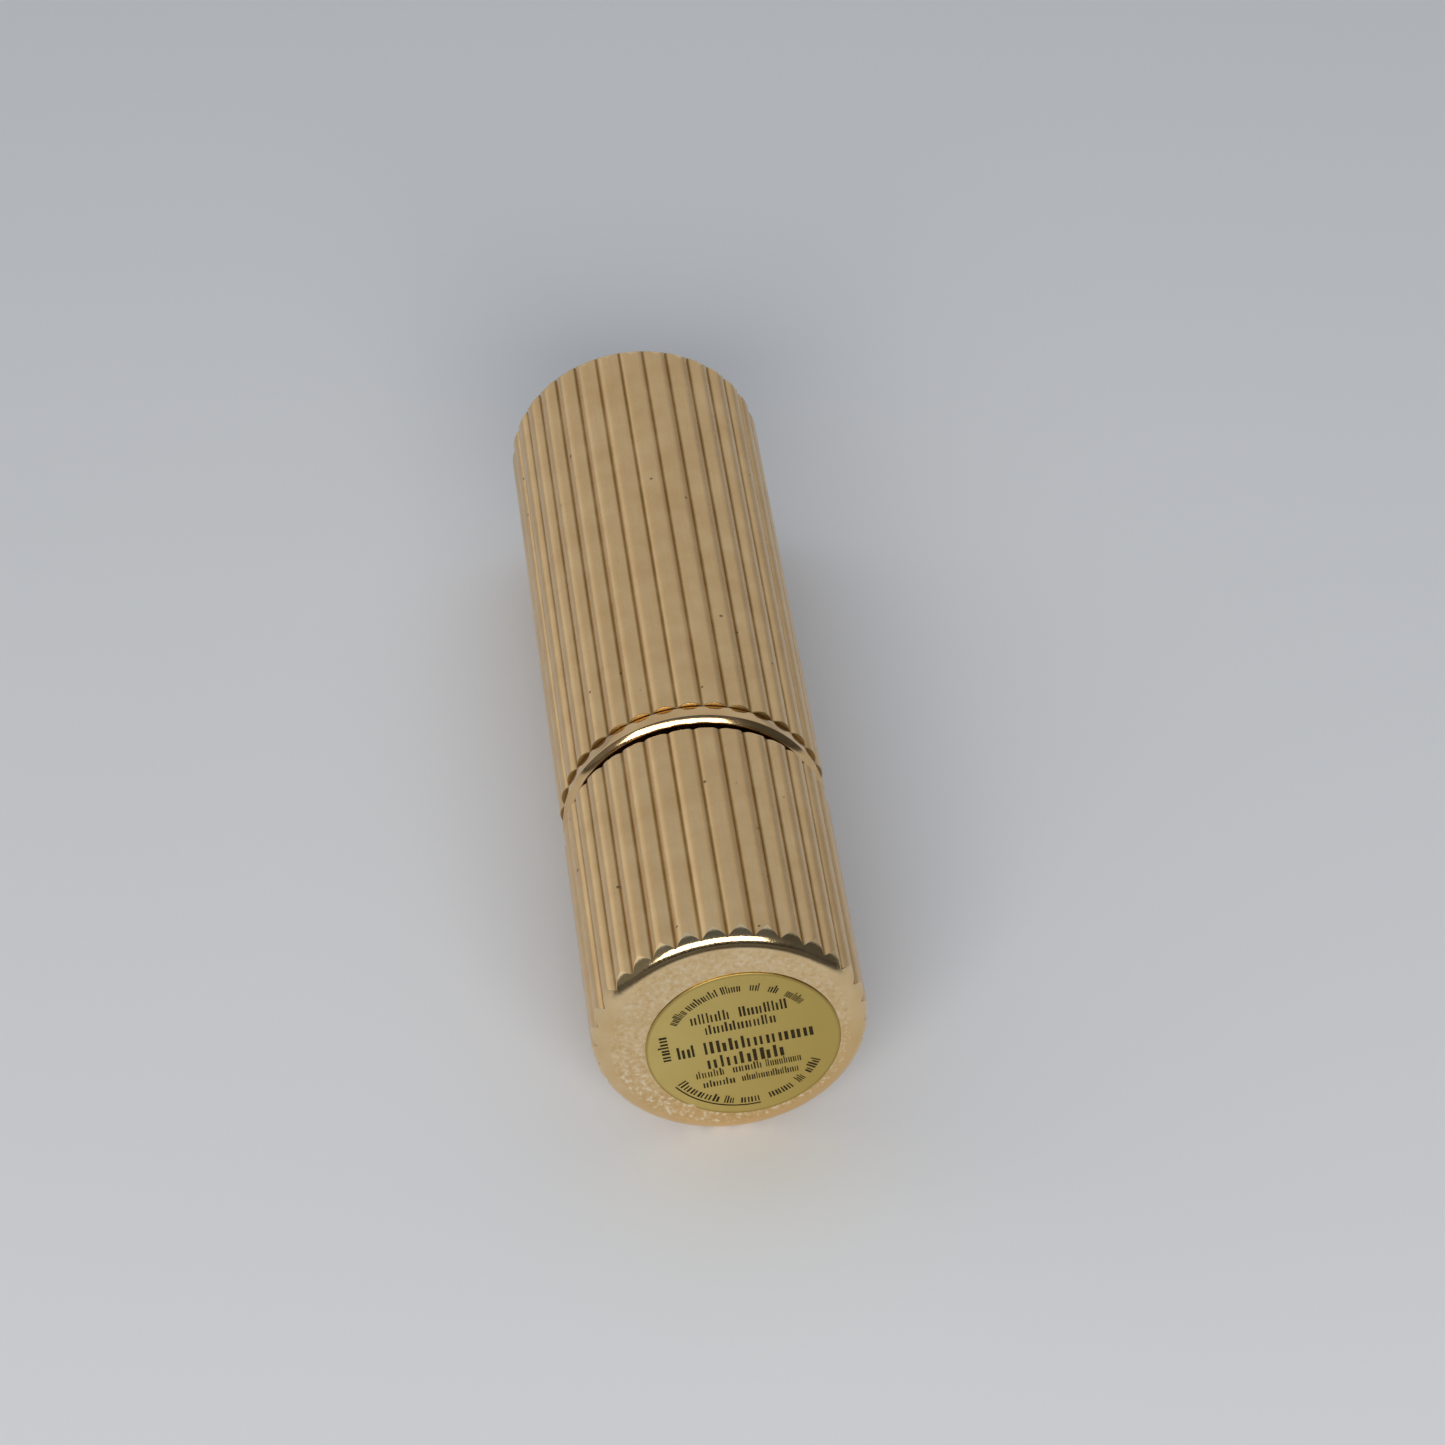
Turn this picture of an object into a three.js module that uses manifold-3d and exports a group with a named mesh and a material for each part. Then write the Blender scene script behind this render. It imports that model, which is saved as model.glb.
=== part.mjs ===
// Swivel lipstick case, lying on its side. Millimetres, +Z up.
// The tube's axis runs along +Y: the labelled base face looks toward -Y, the cap toward +Y.
// Every piece is drawn with its heights measured along the axis from the label's face,
// then the whole case is shifted so the origin is under its middle, on the floor.
import * as THREE from 'three';
import { mergeVertices } from 'three/addons/utils/BufferGeometryUtils.js';
import Module from 'manifold-3d';

const wasm = await Module();
wasm.setup();

// ---------------------------------------------------------------- driving dimensions

const LENGTH = 65.1;            // label face to the cap's end
const CASE_R = 9.5;             // rib crest of the base and the cap
const BORE_R = 8.66;            // inside of the metal shells
const SEGMENTS = 48;            // facets of every smooth turned surface

const RIB_COUNT = 32;
const RIB_ROUND = 1.3;          // radius of a rib's own cross-section
const RIB_COLUMNS = [0, 0.11, 0.28, 0.5, 0.72, 0.89];   // as shares of one rib's pitch, from a groove
const BASE_RIB_PHASE = THREE.MathUtils.degToRad(-1.3);
const CAP_RIB_PHASE = THREE.MathUtils.degToRad(4.4);

const LABEL = { radius: 6.7, thickness: 0.1, x: 0.82, z: -0.69 };
const BASE_FACE = 0.12;         // the metal end face, just behind the label
const BASE_FILLET = 1.3;
const BASE_FLOOR = 0.72;
const BASE_RIM = 21.68;
const BASE_RIM_R = 8.76;        // outer radius of the rim itself, where the ribs have rounded off
const BASE_RIB_END = 0.8;       // length of the rounded end of a rib at the mouth
const CAP_RIB_END = 0.12;
const PAST_MOUTH = 1;           // how far a cutting solid stands out of an open mouth

const WEIGHT = { from: 0.8, to: 4.3, radius: 8.5, bore: 2.5 };
const LINER = { outer: 8.6, inner: 8.12, floorFrom: 4.4, floorTo: 5.2, rim: 19.8, lead: 0.25 };

const RING = {
  from: 22.19, to: 23.66, radius: 9.4, topRadius: 9.26, chamfer: 0.08,
  bevelFrom: 22.52, bevelTo: 22.22, bevelRadius: 8.99, bevelSag: 0.03,
};
const CAP_MOUTH = 23.74;
const CAP_FILLET = 1.0;
const CAP_END_WALL = 0.7;
const CAP_LINER = { from: 24.2, endFrom: 63.2, endTo: 64.1 };

const FORK = { inner: 6.3, outer: 6.86, foot: 7.85, footFrom: 5.26, footTo: 6.06, top: 39.6, hole: 2.5 };
const SPIRAL = { inner: 6.94, outer: 7.6, from: 6.72, to: 38.4 };
const SLEEVE = { inner: 7.66, outer: 8.04, from: 6.72, rim: 41.0, lip: 0.45, roll: 0.13, lipInner: 6.7 };
const DRAG_RING = { radius: 7.25, section: 0.25, sides: 6, centre: 6.38 };
const RETAINER = { inner: 6.9, outer: 7.5, from: 38.5, to: 39.1, gapHalfWidth: 1.2 };

const LIFT = 21;                // how far the bullet rises
const TURNS = 1.5;              // turns of the sleeve for the whole lift
const CUP = { inner: 5.84, outer: 6.24, from: 6.3, floorTo: 7.1, rim: 16.3, hole: 1.5 };
const LUG = { radius: 0.75, reach: 7.24, root: 6.05, centre: 7.9 };
const LUG_CLEARANCE = 0.2;
const SPIRAL_GROOVE = { floor: 7.33, overcut: 0.3, steps: 45 };

const BULLET = { radius: 5.8, from: 7.15, shoulder: 31, tip: 40, slant: 48, cutAt: 36.4 };

const COLOURS = {
  gold: 0xb89c6c,
  goldRing: 0xc8ad7c,
  label: 0xaf9a55,
  steel: 0x8c8f92,
  whitePlastic: 0xe6e2d8,
  ivoryPlastic: 0xd8d2c0,
  blackRubber: 0x222222,
  bronzeWax: 0x8a4a36,
};

// ---------------------------------------------------------------- turning and cutting

function points(pairs) {
  return pairs.map(([r, y]) => new THREE.Vector2(r, y));
}

// A turned ring: the profile closes on itself, listed up the outside and down the inside.
function turnedRing(pairs, segments = SEGMENTS) {
  return new THREE.LatheGeometry(points([...pairs, pairs[0]]), segments);
}

// A turned solid: the profile starts and ends on the axis, listed up the outside.
function turnedSolid(pairs, segments = SEGMENTS) {
  return new THREE.LatheGeometry(points(pairs), segments);
}

function toManifold(geometry) {
  const bare = geometry.clone();
  bare.deleteAttribute('normal');
  bare.deleteAttribute('uv');
  const welded = mergeVertices(bare, 1e-5);
  const index = welded.index.array;
  const triangles = [];
  for (let i = 0; i < index.length; i += 3) {
    const [a, b, c] = [index[i], index[i + 1], index[i + 2]];
    if (a !== b && b !== c && c !== a) triangles.push(a, b, c);
  }
  return new wasm.Manifold(new wasm.Mesh({
    numProp: 3,
    vertProperties: new Float32Array(welded.attributes.position.array),
    triVerts: new Uint32Array(triangles),
  }));
}

function toGeometry(solid) {
  const mesh = solid.getMesh();
  const geometry = new THREE.BufferGeometry();
  geometry.setAttribute('position', new THREE.BufferAttribute(new Float32Array(mesh.vertProperties), 3));
  geometry.setIndex(new THREE.BufferAttribute(new Uint32Array(mesh.triVerts), 1));
  geometry.computeVertexNormals();
  return geometry;
}

function cut(body, ...tools) {
  return tools.reduce((rest, tool) => rest.subtract(toManifold(tool)), toManifold(body));
}

// Quarter-round steps from 0 to 90 degrees, as [sine, 1 - cosine] pairs.
function quarter(steps) {
  return Array.from({ length: steps + 1 }, (_, i) => {
    const a = (i / steps) * Math.PI / 2;
    return [Math.sin(a), 1 - Math.cos(a)];
  });
}

// ---------------------------------------------------------------- the ribbed skin

// Radius of the ribbed skin, at a share of one rib's pitch measured from a groove's middle.
function ribRadius(share) {
  const fromCrest = (share - 0.5) * 2 * Math.PI * CASE_R / RIB_COUNT;
  return CASE_R - RIB_ROUND + Math.sqrt(RIB_ROUND ** 2 - fromCrest ** 2);
}

const GROOVE_ROOT_R = ribRadius(0);

// A ribbed bar, turned to the envelope and never larger than the ribs allow.
function ribbedBar(envelope, phase) {
  const columns = RIB_COUNT * RIB_COLUMNS.length;
  const bar = turnedSolid(envelope, columns);
  const pitch = 2 * Math.PI / RIB_COUNT;
  const position = bar.attributes.position;
  for (let i = 0; i < position.count; i += 1) {
    const column = Math.floor(i / envelope.length) % columns;
    const share = RIB_COLUMNS[column % RIB_COLUMNS.length];
    const angle = phase + (Math.floor(column / RIB_COLUMNS.length) + share) * pitch;
    const radius = Math.min(envelope[i % envelope.length][0], ribRadius(share));
    position.setX(i, radius * Math.sin(angle));
    position.setZ(i, radius * Math.cos(angle));
  }
  return bar;
}

// The rounded start of the ribs at a mouth, from the rim's radius up to the crest.
function ribStart(mouth, length, rimRadius) {
  return quarter(3).map(([rise, run]) => [
    rimRadius + (CASE_R - rimRadius) * rise,
    mouth + length * run,
  ]);
}

// Solid that hollows a shell out, from one height to another.
function borePlug(from, to) {
  return turnedSolid([[0, from], [BORE_R, from], [BORE_R, to], [0, to]]);
}

// ---------------------------------------------------------------- base

function baseShell() {
  const fillet = quarter(4).map(([out, up]) => [
    CASE_R - BASE_FILLET + BASE_FILLET * out,
    BASE_FACE + BASE_FILLET * up,
  ]);
  const envelope = [
    [0, BASE_FACE],
    ...fillet,
    ...ribStart(BASE_RIM, -BASE_RIB_END, BASE_RIM_R).reverse(),
    [0, BASE_RIM],
  ];
  return cut(ribbedBar(envelope, BASE_RIB_PHASE), borePlug(BASE_FLOOR, BASE_RIM + PAST_MOUTH));
}

function baseWeight() {
  const { from, to, radius, bore } = WEIGHT;
  return turnedRing([[bore, from], [radius, from], [radius, to], [bore, to]]);
}

// Plastic cup inside the base, closed below the swivel.
function baseLiner() {
  const { outer, inner, floorFrom, floorTo, rim, lead } = LINER;
  return turnedSolid([
    [0, floorFrom], [outer, floorFrom], [outer, rim], [inner + lead, rim],
    [inner, rim - lead], [inner, floorTo], [0, floorTo],
  ]);
}

function shadeLabel() {
  const label = turnedSolid([
    [0, 0], [LABEL.radius, 0], [LABEL.radius, LABEL.thickness], [0, LABEL.thickness],
  ]);
  return label.translate(LABEL.x, 0, LABEL.z);
}

// ---------------------------------------------------------------- swivel mechanism

// Tube fixed in the base, slotted down two sides so the cup can only rise, not turn.
function forkTube() {
  const { inner, outer, foot, footFrom, footTo, top, hole } = FORK;
  const tube = turnedRing([
    [hole, footFrom], [foot, footFrom], [foot, footTo], [outer, footTo], [outer, top],
    [inner, top], [inner, footTo], [hole, footTo],
  ]);
  const width = 2 * (LUG.radius + LUG_CLEARANCE);
  const slots = new THREE.BoxGeometry(width, LIFT + width, 4 * outer);
  slots.translate(0, LUG.centre + LIFT / 2, 0);
  return cut(tube, slots);
}

function dragRing() {
  const { radius, section, sides, centre } = DRAG_RING;
  const round = Array.from({ length: sides }, (_, i) => {
    const a = (i / sides) * 2 * Math.PI;
    return [radius + section * Math.cos(a), centre + section * Math.sin(a)];
  });
  return turnedRing(round);
}

// Split ring at the fork's top that keeps the spiral tube on.
function retainingRing() {
  const { inner, outer, from, to, gapHalfWidth } = RETAINER;
  const ring = turnedRing([[inner, from], [outer, from], [outer, to], [inner, to]]);
  const gap = new THREE.BoxGeometry(outer, to - from + 1, 2 * gapHalfWidth);
  gap.translate(outer, (from + to) / 2, 0);
  return cut(ring, gap);
}

// Square bar wound round the axis, for cutting one start of the spiral groove.
function helicalBar(startAngle) {
  const { floor, overcut, steps } = SPIRAL_GROOVE;
  const slope = LIFT / (TURNS * 2 * Math.PI * SPIRAL.inner);
  const halfWidth = (LUG.radius + LUG_CLEARANCE) * Math.hypot(1, slope);
  const overrun = LUG.radius / LIFT;
  const bar = new THREE.BoxGeometry(1, 1, 1, 1, 1, steps);
  const position = bar.attributes.position;
  for (let i = 0; i < position.count; i += 1) {
    const share = THREE.MathUtils.lerp(-overrun, 1 + overrun, 0.5 - position.getZ(i));
    const angle = startAngle + share * TURNS * 2 * Math.PI;
    const radius = THREE.MathUtils.lerp(SPIRAL.inner - overcut, floor, position.getX(i) + 0.5);
    const height = LUG.centre + share * LIFT + 2 * halfWidth * position.getY(i);
    position.setXYZ(i, radius * Math.sin(angle), height, radius * Math.cos(angle));
  }
  return bar;
}

// Tube fixed in the sleeve, with a two-start groove inside that lifts the cup as it turns.
function spiralTube() {
  const { inner, outer, from, to } = SPIRAL;
  const tube = turnedRing([[inner, from], [outer, from], [outer, to], [inner, to]]);
  return cut(tube, helicalBar(0), helicalBar(Math.PI));
}

// Bright metal sleeve that shows when the cap is off.
function sleeveShell() {
  const { inner, outer, from, rim, lip, roll, lipInner } = SLEEVE;
  return turnedRing([
    [inner, from], [outer, from], [outer, rim - lip], [outer - roll, rim - roll], [outer - lip, rim],
    [lipInner, rim], [lipInner, rim - lip], [inner, rim - lip],
  ]);
}

// Cup that holds the bullet, with one lug on each side.
function carrierCup() {
  const { inner, outer, from, floorTo, rim, hole } = CUP;
  const cup = toManifold(turnedRing([
    [hole, from], [outer, from], [outer, rim], [inner, rim], [inner, floorTo], [hole, floorTo],
  ]));
  return [1, -1].reduce((body, side) => {
    const lug = new THREE.CylinderGeometry(LUG.radius, LUG.radius, LUG.reach - LUG.root, 24);
    lug.rotateX(Math.PI / 2);
    lug.translate(0, LUG.centre, side * (LUG.reach + LUG.root) / 2);
    return body.add(toManifold(lug));
  }, cup);
}

// Moulded stick with a domed nose, cut off slantwise.
function lipstickBullet() {
  const { radius, from, shoulder, tip, slant, cutAt } = BULLET;
  const nose = quarter(6).map(([rise, run]) => [
    radius * (1 - run),
    THREE.MathUtils.lerp(shoulder, tip, rise),
  ]);
  const stick = turnedSolid([[0, from], [radius, from], ...nose.slice(0, -1), [0, tip]]);
  const block = new THREE.BoxGeometry(8 * radius, 4 * radius, 8 * radius);
  block.translate(0, 2 * radius, 0);
  block.rotateX(-THREE.MathUtils.degToRad(slant));
  block.translate(0, cutAt, 0);
  return cut(stick, block);
}

// ---------------------------------------------------------------- cap

function capShell() {
  const fillet = quarter(3).reverse().map(([out, down]) => [
    CASE_R - CAP_FILLET + CAP_FILLET * out,
    LENGTH - CAP_FILLET * down,
  ]);
  const start = ribStart(CAP_MOUTH, CAP_RIB_END, GROOVE_ROOT_R);
  const envelope = [[0, CAP_MOUTH], ...start, ...fillet, [0, LENGTH]];
  return cut(ribbedBar(envelope, CAP_RIB_PHASE), borePlug(CAP_MOUTH - PAST_MOUTH, LENGTH - CAP_END_WALL));
}

// Smooth band round the cap's mouth, with a slightly bellied bevel toward the base.
function capMouthRing() {
  const { from, to, radius, topRadius, chamfer, bevelFrom, bevelTo, bevelRadius, bevelSag } = RING;
  const bevel = [
    [bevelRadius - chamfer, from], [bevelRadius, bevelTo],
    [(bevelRadius + radius) / 2 + bevelSag, (bevelTo + bevelFrom) / 2 - bevelSag],
    [radius, bevelFrom + chamfer],
  ];
  const upper = [[topRadius, to - chamfer], [topRadius - chamfer, to]];
  return turnedRing([[BORE_R, from], ...bevel, ...upper, [BORE_R, to]]);
}

// Plastic lining of the cap, closed at the far end, that grips the sleeve.
function capLiner() {
  const { outer, inner, lead } = LINER;
  const { from, endFrom, endTo } = CAP_LINER;
  return turnedSolid([
    [0, endFrom], [inner, endFrom], [inner, from + lead], [inner + lead, from],
    [outer, from], [outer, endTo], [0, endTo],
  ]);
}

// ---------------------------------------------------------------- assembly

const SHINY = { metalness: 1, roughness: 0.3 };
const MATT = { metalness: 0, roughness: 0.5 };

const PIECES = {
  base_shell: [baseShell, COLOURS.gold, SHINY],
  base_liner: [baseLiner, COLOURS.whitePlastic, MATT],
  base_weight: [baseWeight, COLOURS.steel, SHINY],
  shade_label: [shadeLabel, COLOURS.label, MATT],
  fork_tube: [forkTube, COLOURS.whitePlastic, MATT],
  drag_ring: [dragRing, COLOURS.blackRubber, MATT],
  retaining_ring: [retainingRing, COLOURS.steel, SHINY],
  sleeve_shell: [sleeveShell, COLOURS.goldRing, SHINY],
  spiral_tube: [spiralTube, COLOURS.ivoryPlastic, MATT],
  carrier_cup: [carrierCup, COLOURS.ivoryPlastic, MATT],
  lipstick_bullet: [lipstickBullet, COLOURS.bronzeWax, MATT],
  cap_shell: [capShell, COLOURS.gold, SHINY],
  cap_mouth_ring: [capMouthRing, COLOURS.goldRing, SHINY],
  cap_liner: [capLiner, COLOURS.whitePlastic, MATT],
};

function makeMesh(name, [build, colour, finish]) {
  const piece = build();
  const solid = piece.isBufferGeometry ? toManifold(piece) : piece;
  const geometry = toGeometry(solid);
  geometry.translate(0, -LENGTH / 2, CASE_R);
  const mesh = new THREE.Mesh(geometry, new THREE.MeshStandardMaterial({ color: colour, ...finish }));
  mesh.name = name;
  return mesh;
}

const lipstickCase = new THREE.Group();
lipstickCase.name = 'lipstick_case';
for (const [name, piece] of Object.entries(PIECES)) lipstickCase.add(makeMesh(name, piece));

export default lipstickCase;
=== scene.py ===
"""Looks for a ribbed gold swivel lipstick case that lies on its side, capped.

Metres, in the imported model's own frame: the case's axis runs along Y at the height of its radius,
the labelled base faces -Y and the cap is toward +Y. Angles round the axis start at +Z and grow
toward +X.
"""
import math
import random

import bmesh
import bpy
import numpy as np
from mathutils import Matrix, Vector


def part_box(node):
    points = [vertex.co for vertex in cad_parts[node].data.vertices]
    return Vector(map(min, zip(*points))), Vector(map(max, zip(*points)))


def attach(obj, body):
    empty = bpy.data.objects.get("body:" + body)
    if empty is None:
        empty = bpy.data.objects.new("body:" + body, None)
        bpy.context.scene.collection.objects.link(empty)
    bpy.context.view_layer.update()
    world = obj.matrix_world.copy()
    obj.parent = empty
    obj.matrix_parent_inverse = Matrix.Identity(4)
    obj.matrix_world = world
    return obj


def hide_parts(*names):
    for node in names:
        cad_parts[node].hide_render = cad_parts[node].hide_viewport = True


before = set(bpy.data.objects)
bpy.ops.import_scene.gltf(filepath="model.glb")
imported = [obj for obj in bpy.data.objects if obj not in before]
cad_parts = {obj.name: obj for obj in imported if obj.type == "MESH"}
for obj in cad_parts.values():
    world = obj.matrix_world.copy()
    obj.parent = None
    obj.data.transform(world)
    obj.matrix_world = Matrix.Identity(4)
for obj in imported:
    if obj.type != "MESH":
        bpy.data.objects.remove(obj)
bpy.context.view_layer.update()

MM = 0.001

# ------------------------------------------------------------------ sizes, from the frame

CASE_R = (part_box("cap_shell")[1].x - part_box("cap_shell")[0].x) / 2
LABEL_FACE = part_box("shade_label")[0].y
BASE_FACE, BASE_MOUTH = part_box("base_shell")[0].y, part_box("base_shell")[1].y
CAP_MOUTH, CAP_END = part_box("cap_shell")[0].y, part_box("cap_shell")[1].y
AXIS_Z = CASE_R

RIB_COUNT = 32
RIB_ROUND = 1.3 * MM        # radius of a rib's own cross-section
GROOVE_ROUND = 0.05 * MM    # how softly two ribs run into each other at the root
BASE_RIB_PHASE = math.radians(-1.3)
CAP_RIB_PHASE = math.radians(4.4)
BORE_R = 8.66 * MM          # inside of both shells
BASE_SLOPE = 1.6 * MM       # radius of the broad rounding next to the base's end face
BASE_SLOPE_TURN = 61        # degrees from radial at which it gives way to the tighter BASE_FILLET
BASE_FILLET = 1.2 * MM
CAP_FILLET = 1.0 * MM
BASE_RIM_R = 8.9 * MM       # outer radius of the base's rim, where its ribs have rounded off
BASE_RIM_SET_BACK = 0.3 * MM
BASE_RIB_END = 0.35 * MM    # length of the rounded end of a rib at the mouth
CAP_RIB_END = 0.12 * MM
CREASE = 0.03 * MM          # how softly two surfaces of a ribbed shell run into each other
LIP_EDGE = 0.04 * MM        # chamfer of a shell's mouth, on the inside
END_WALL = 0.6 * MM

SEGMENTS = 160              # round a turned piece inside the case
FINE_SEGMENTS = 256         # round one that is seen close
BULLET_SEGMENTS = 128


# ------------------------------------------------------------------ meshes

WELD = 0.0002 * MM
SHARP_ANGLE = 40
RIB_SHARP_ANGLE = 50


def new_object(name, verts, faces, materials, sharp_angle=SHARP_ANGLE, slots=None):
    """A smooth-shaded object in which only edges steeper than sharp_angle degrees stay crisp."""
    mesh = bpy.data.meshes.new(name)
    mesh.from_pydata([tuple(v) for v in verts], [], faces)
    if slots is not None:
        mesh.polygons.foreach_set("material_index", slots)
    work = bmesh.new()
    work.from_mesh(mesh)
    bmesh.ops.remove_doubles(work, verts=work.verts, dist=WELD)
    work.to_mesh(mesh)
    work.free()
    mesh.polygons.foreach_set("use_smooth", [True] * len(mesh.polygons))
    mesh.set_sharp_from_angle(angle=math.radians(sharp_angle))
    for material in materials:
        mesh.materials.append(material)
    piece = bpy.data.objects.new(name, mesh)
    bpy.context.scene.collection.objects.link(piece)
    return piece


def grid_faces(columns, rows):
    """Quads of a grid that closes round the axis, with vertex (column, row) at column * rows + row."""
    faces = []
    for i in range(columns):
        a, b = i * rows, ((i + 1) % columns) * rows
        faces += [(a + j, b + j, b + j + 1, a + j + 1) for j in range(rows - 1)]
    return faces


def round_axis(angle, radius, y):
    """The point at an angle and a radius round the case's axis."""
    return radius * math.sin(angle), y, AXIS_Z + radius * math.cos(angle)


def turned(name, profile, material, segments=SEGMENTS):
    """A profile of (radius, y) turned round the axis, listed up the outside toward +Y and back inside.
    It starts and ends on the axis, or is closed by repeating its first point."""
    verts = [round_axis(2 * math.pi * i / segments, r, y) for i in range(segments) for r, y in profile]
    return new_object(name, verts, grid_faces(segments, len(profile)), [MATERIALS[material]])


def arc(centre_r, centre_y, radius, start, end, steps):
    """Points of (radius, y) on a circular arc; angles in degrees, 0 outward and 90 toward +Y."""
    angles = np.radians(np.linspace(start, end, steps + 1))
    return [(centre_r + radius * math.cos(a), centre_y + radius * math.sin(a)) for a in angles]


def along(y_mm):
    """A height along the axis, in millimetres from the label's face, in the frame."""
    return LABEL_FACE + y_mm * MM


def in_frame(profile):
    """A profile in millimetres, with heights from the label's face, in the frame."""
    return [(r * MM, along(y)) for r, y in profile]


def cut_box(piece, low, high):
    """Takes a box out of a piece."""
    corners = [(x, y, z) for x in (low[0], high[0]) for y in (low[1], high[1]) for z in (low[2], high[2])]
    sides = [(0, 1, 3, 2), (4, 6, 7, 5), (0, 4, 5, 1), (2, 3, 7, 6), (0, 2, 6, 4), (1, 5, 7, 3)]
    block = bpy.data.meshes.new("block")
    block.from_pydata(corners, [], sides)
    cutter = bpy.data.objects.new("block", block)
    bpy.context.scene.collection.objects.link(cutter)
    difference = piece.modifiers.new("cut", "BOOLEAN")
    difference.object = cutter
    difference.solver = "EXACT"
    graph = bpy.context.evaluated_depsgraph_get()
    mesh = bpy.data.meshes.new_from_object(piece.evaluated_get(graph))
    piece.modifiers.clear()
    piece.data = mesh
    mesh.set_sharp_from_angle(angle=math.radians(SHARP_ANGLE))
    bpy.data.objects.remove(cutter)


def finish_piece(piece, body, slot, *nodes):
    """Rides the piece on its body, in place of the CAD nodes that it shows. The slot argument is not
    used.
    """
    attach(piece, body)
    if nodes:
        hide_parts(*nodes)


# ------------------------------------------------------------------ the ribbed shells

def rib_radius(share):
    """Radius of the ribbed skin at a share of one rib's pitch, measured from a groove's middle."""
    half_pitch = math.pi * CASE_R / RIB_COUNT
    from_crest = half_pitch - math.hypot(half_pitch * min(share, 1 - share) * 2, GROOVE_ROUND)
    return CASE_R - RIB_ROUND + math.sqrt(RIB_ROUND ** 2 - max(0.0, from_crest) ** 2)


GROOVE_R = rib_radius(0)
RIB_COLUMNS = 22            # across one rib, closest together in the grooves
RIB_SHARES = [0.5 - 0.5 * math.cos(math.pi * k / RIB_COLUMNS) for k in range(RIB_COLUMNS)]
INWARD = [MM * step for step in (0.008, 0.02, 0.04, 0.075, 0.15, 0.3, 0.5)]     # rows past a crossing
PAST_CREST = 0.5            # how fast an end's wall rises on, past the crest
MIDDLE_ROWS = 5
FACE_ROWS = 4
BASE_END_STEPS, BASE_MOUTH_STEPS = 28, 14       # rows from an end to the crossing
CAP_END_STEPS, CAP_MOUTH_STEPS = 16, 8
QUARTER_POINTS = 91         # points of an end's outline, from which its rows are read off
BROAD_POINTS, TIGHT_POINTS = 31, 61


def soft_min(a, b):
    """The smaller of two radii, with a crease's softness where they cross."""
    mix = min(1.0, max(0.0, 0.5 + 0.5 * (b - a) / CREASE))
    return b + (a - b) * mix - CREASE * mix * (1 - mix)


def quarter_end(end_r, length):
    """An end's outline as (radius, distance) points: an elliptic quarter from end_r to the crest."""
    rise = CASE_R - end_r
    return [(end_r + rise * math.sin(a), length * (1 - math.cos(a)))
            for a in np.linspace(0, math.pi / 2, QUARTER_POINTS)]


def sloped_end():
    """The base's end: a broad rounding off the flat face, then a tighter one up to the crest."""
    turn = math.radians(BASE_SLOPE_TURN)
    knee = CASE_R - BASE_FILLET * (1 - math.cos(turn))
    start = knee - BASE_SLOPE * math.cos(turn)
    broad = [(start + BASE_SLOPE * math.cos(b), BASE_SLOPE * (1 - math.sin(b)))
             for b in np.linspace(math.pi / 2, turn, BROAD_POINTS)]
    tight = [(knee + BASE_FILLET * (math.cos(b) - math.cos(turn)),
              broad[-1][1] + BASE_FILLET * (math.sin(turn) - math.sin(b)))
             for b in np.linspace(turn, 0, TIGHT_POINTS)[1:]]
    return broad + tight


def end_rows(radius, outline, crossing_steps):
    """Rows of (radius, distance from the end) of one column, from the shell's end inward.

    The outline rises to the crest and meets the rib's own radius at a crossing, round which the
    rows are close together.
    """
    radii, distances = zip(*outline)
    along_outline = np.linspace(0, 1, len(outline))
    crossing = np.interp(radius, radii, along_outline)
    rows = []
    for s in np.linspace(0, crossing, crossing_steps + 1):
        wall = np.interp(s, along_outline, radii)
        rows.append((soft_min(wall, radius), np.interp(s, along_outline, distances)))
    last = rows[-1][1]
    for step in INWARD:
        y = last + step
        past = y - distances[-1]
        wall = np.interp(y, distances, radii) if past < 0 else CASE_R + PAST_CREST * past
        rows.append((soft_min(wall, radius), y))
    return rows


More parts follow.
